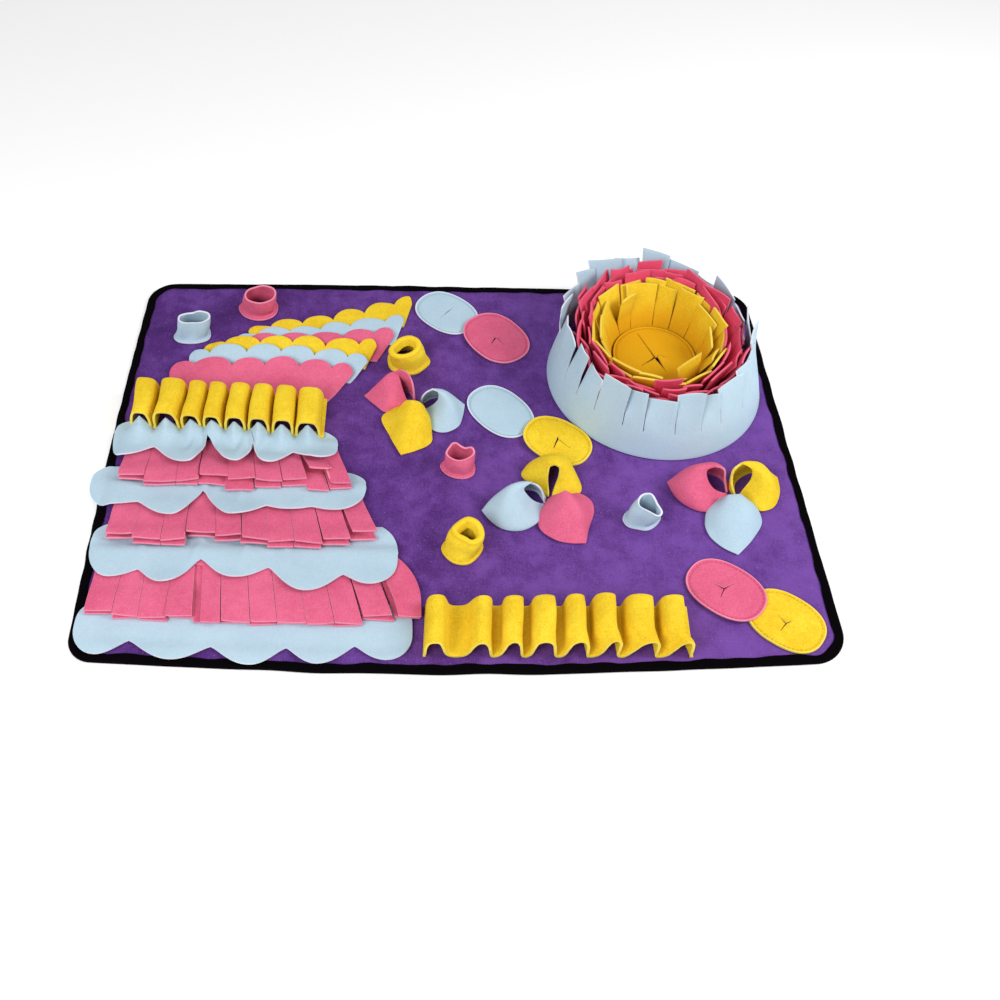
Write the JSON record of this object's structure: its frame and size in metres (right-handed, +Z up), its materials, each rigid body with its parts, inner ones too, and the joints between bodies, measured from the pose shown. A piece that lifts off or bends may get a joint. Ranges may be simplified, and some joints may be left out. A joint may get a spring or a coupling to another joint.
{
  "type": "snuffle mat",
  "caption": "Bound felt foraging mat for a pet, with scalloped, fringed and looped felt strips, small cups, folded petals, slit discs and a fringed bowl to hide treats in.",
  "frame": {"origin": "middle of the mat's underside, between its straight left and right edges and its two long edges", "axes": "+X to the right along the mat's length, +Y to the back as the picture shows it, +Z up from the mat's face"},
  "size_m": [0.708, 0.504, 0.0876],
  "materials": {
    "purple_felt": "dense matt felt, mottled violet",
    "black_tape": "matt woven binding tape",
    "blue_felt": "matt pale blue felt with a lighter cut edge",
    "pink_felt": "matt raspberry pink felt",
    "yellow_felt": "matt golden yellow felt, a little fuzzy"
  },
  "bodies": {
    "root": {"base_mat": "purple_felt", "bowl_floor": "yellow_felt", "bowl_pink_1": "pink_felt", "bowl_pink_2": "pink_felt", "bowl_pink_3": "pink_felt", "bowl_wall": "blue_felt", "bowl_yellow_1": "yellow_felt", "bowl_yellow_2": "yellow_felt", "cup_1": "blue_felt", "cup_2": "pink_felt", "cup_3": "yellow_felt", "cup_4": "pink_felt", "cup_5": "yellow_felt", "cup_6": "blue_felt", "disc_1": "blue_felt", "disc_2": "pink_felt", "disc_3": "blue_felt", "disc_4": "yellow_felt", "disc_5": "pink_felt", "disc_6": "yellow_felt", "edge_binding": "black_tape", "fan_row_1": "pink_felt", "fan_row_2": "blue_felt", "fan_row_3": "yellow_felt", "fan_row_4": "pink_felt", "fan_row_5": "blue_felt", "fan_row_6": "yellow_felt", "fringe_1_top": "pink_felt", "fringe_1_under": "pink_felt", "fringe_2_top": "pink_felt", "fringe_2_under": "pink_felt", "fringe_3_top": "pink_felt", "fringe_3_under": "pink_felt", "loop_strip_lower": "yellow_felt", "loop_strip_upper": "yellow_felt", "petal_1_blue": "blue_felt", "petal_1_pink": "pink_felt", "petal_1_yellow": "yellow_felt", "petal_2_blue": "blue_felt", "petal_2_pink": "pink_felt", "petal_2_yellow": "yellow_felt", "petal_3_blue": "blue_felt", "petal_3_pink": "pink_felt", "petal_3_yellow": "yellow_felt", "wave_1": "blue_felt", "wave_2": "blue_felt", "wave_3": "blue_felt", "wave_4": "blue_felt"}
  },
  "joints": []
}
